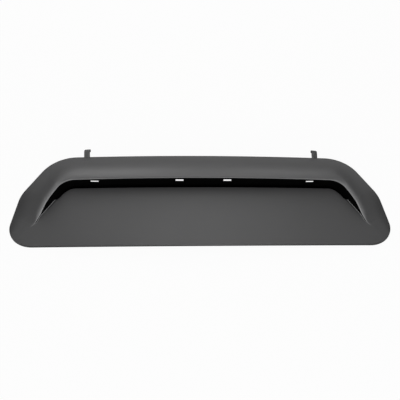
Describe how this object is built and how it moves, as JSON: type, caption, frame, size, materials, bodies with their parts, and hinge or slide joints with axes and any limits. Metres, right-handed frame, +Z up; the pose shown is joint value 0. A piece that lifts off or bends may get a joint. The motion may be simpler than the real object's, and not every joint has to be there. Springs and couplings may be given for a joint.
{
  "type": "bonnet scoop",
  "caption": "Wide low bonnet scoop, moulded in one piece: ramp, overhanging lip with slots in the wall behind it, screw bosses below and rear hooks.",
  "frame": {"origin": "centre of the bounding box at its base, which is the level of the foot at the widest point", "axes": "+X across the car, +Y towards the windscreen, +Z up from the bonnet"},
  "size_m": [0.7998, 0.2782, 0.067],
  "materials": {
    "shell": "fine-grained matte dark grey moulding, almost black inside the mouth"
  },
  "bodies": {
    "root": {"scoop_shell": "shell"}
  },
  "joints": []
}
